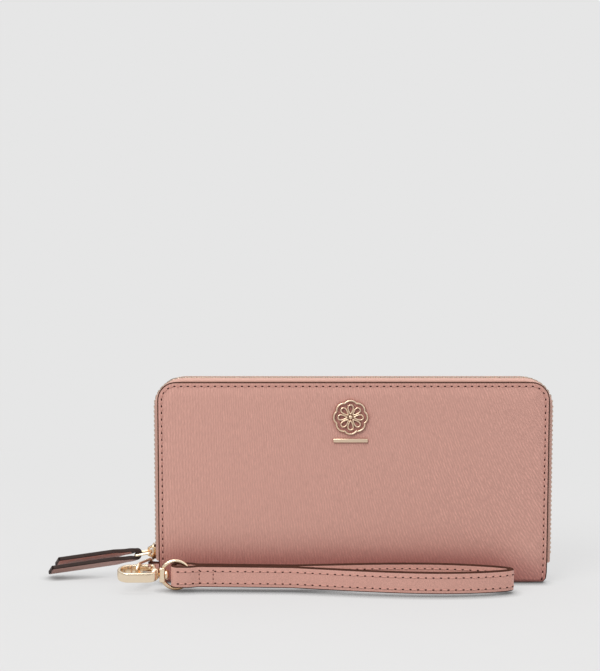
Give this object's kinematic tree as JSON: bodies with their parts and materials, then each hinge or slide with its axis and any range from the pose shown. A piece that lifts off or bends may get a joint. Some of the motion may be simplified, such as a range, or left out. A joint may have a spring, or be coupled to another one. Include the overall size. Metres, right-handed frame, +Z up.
{
  "type": "wristlet wallet",
  "caption": "Long zip-around wallet standing on its spine, with a leather zip puller and a clip-on wrist strap.",
  "frame": {"origin": "middle of the spine's underside, the face the wallet stands on", "axes": "+X to the right seen from the front, +Y away from the front, +Z up"},
  "size_m": [0.2555, 0.0444, 0.105],
  "materials": {
    "cover_leather": "fine cross-grain rose leather, satin, plum painted edges",
    "strap_leather": "rose strap leather, satin, plum painted edges",
    "puller_leather": "rose leather with near-black painted edges",
    "gusset_leather": "thin folded rose leather",
    "lining": "woven rose lining",
    "board": "grey stiffening board",
    "zip_tape": "woven salmon zip tape",
    "zip_metal": "pale gold zip teeth and slider, polished",
    "hardware": "pale gold plated hardware, polished",
    "ornament": "pale gold plated ornament, polished",
    "spring_steel": "plain spring steel"
  },
  "bodies": {
    "case": {"front_cover_leather": "cover_leather", "front_cover_board": "board", "front_lining": "lining", "spine_leather": "cover_leather", "spine_board": "board", "front_zip_tape": "zip_tape", "front_zip_teeth": "zip_metal", "zip_end_stop": "zip_metal", "front_card_slot_1": "lining", "front_card_slot_2": "lining", "front_card_slot_3": "lining", "front_card_slot_4": "lining", "left_gusset": "gusset_leather", "right_gusset": "gusset_leather", "d_ring_tab": "cover_leather", "ornament_rosette": "ornament", "ornament_bar": "ornament"},
    "back_cover": {"back_cover_leather": "cover_leather", "back_cover_board": "board", "back_lining": "lining", "back_zip_tape": "zip_tape", "back_zip_teeth": "zip_metal", "back_card_slot_1": "lining", "back_card_slot_2": "lining", "back_card_slot_3": "lining", "back_card_slot_4": "lining"},
    "coin_pocket": {"coin_pocket_front_panel": "lining", "coin_pocket_rear_panel": "lining", "coin_pocket_binding": "lining", "coin_zip_front_tape": "zip_tape", "coin_zip_rear_tape": "zip_tape", "coin_zip_teeth": "zip_metal"},
    "coin_slider": {"coin_slider": "zip_metal"},
    "coin_puller": {"coin_puller": "zip_metal"},
    "zip_slider": {"slider_body": "zip_metal"},
    "pull_link": {"pull_link": "zip_metal"},
    "puller": {"puller_leather": "puller_leather"},
    "d_ring": {"d_ring": "hardware"},
    "snap_hook": {"snap_hook_body": "hardware", "gate_pin": "spring_steel", "gate_spring": "spring_steel", "swivel_post": "hardware"},
    "gate": {"snap_hook_gate": "hardware"},
    "swivel_eye": {"swivel_eye": "hardware"},
    "strap": {"strap_inner_leather": "strap_leather", "strap_outer_leather": "strap_leather"}
  },
  "joints": [
    {"name": "back_cover_hinge", "type": "hinge", "parent": "case", "child": "back_cover", "pos_m": [0, 0.009, 0.0016], "axis": [-1, 0, 0], "range_deg": [0, 60], "deforming": ["left_gusset", "right_gusset"]},
    {"name": "coin_pocket_hinge", "type": "hinge", "parent": "case", "child": "coin_pocket", "pos_m": [0, 0.009, 0.0016], "axis": [-1, 0, 0], "range_deg": [0, 30]},
    {"name": "coin_zip_slide", "type": "slide", "parent": "coin_pocket", "child": "coin_slider", "axis": [1, 0, 0], "range_m": [0, 0.15]},
    {"name": "coin_puller_swing", "type": "hinge", "parent": "coin_slider", "child": "coin_puller", "pos_m": [-0.0804, 0, 0.0878], "axis": [0, 1, 0], "range_deg": [-90, 0]},
    {"name": "zip_slide", "type": "slide", "parent": "case", "child": "zip_slider", "axis": [0, 0, 1], "range_m": [0, 0.068]},
    {"name": "pull_link_swing", "type": "hinge", "parent": "zip_slider", "child": "pull_link", "pos_m": [-0.1023, 0, 0.0134], "axis": [0, 1, 0], "range_deg": [-45, 45]},
    {"name": "puller_swing", "type": "hinge", "parent": "pull_link", "child": "puller", "pos_m": [-0.1101, 0, 0.0121], "axis": [0, 1, 0], "range_deg": [-30, 35]},
    {"name": "d_ring_swing", "type": "hinge", "parent": "case", "child": "d_ring", "pos_m": [-0.1014, -0.0087, 0.0083], "axis": [0, 0, 1], "range_deg": [-12, 0]},
    {"name": "hook_swing", "type": "hinge", "parent": "d_ring", "child": "snap_hook", "pos_m": [-0.1068, -0.0225, 0.0079], "axis": [0, 0, 1], "range_deg": [-60, 0]},
    {"name": "gate_open", "type": "hinge", "parent": "snap_hook", "child": "gate", "pos_m": [-0.0995, -0.018, 0.0079], "axis": [0, 0, 1], "range_deg": [0, 17], "stiffness_Nm_per_rad": 0.001, "deforming": ["gate_spring"]},
    {"name": "swivel_spin", "type": "hinge", "parent": "snap_hook", "child": "swivel_eye", "pos_m": [-0.095, -0.0235, 0.0079], "axis": [1, 0, 0], "continuous": true},
    {"name": "strap_swing", "type": "hinge", "parent": "swivel_eye", "child": "strap", "pos_m": [-0.08075, -0.0235, 0.0079], "axis": [0, 0, 1], "range_deg": [-9, 0]}
  ],
  "couplings": [
    {"joint": "coin_pocket_hinge", "follows": "back_cover_hinge", "ratio": 0.5}
  ]
}
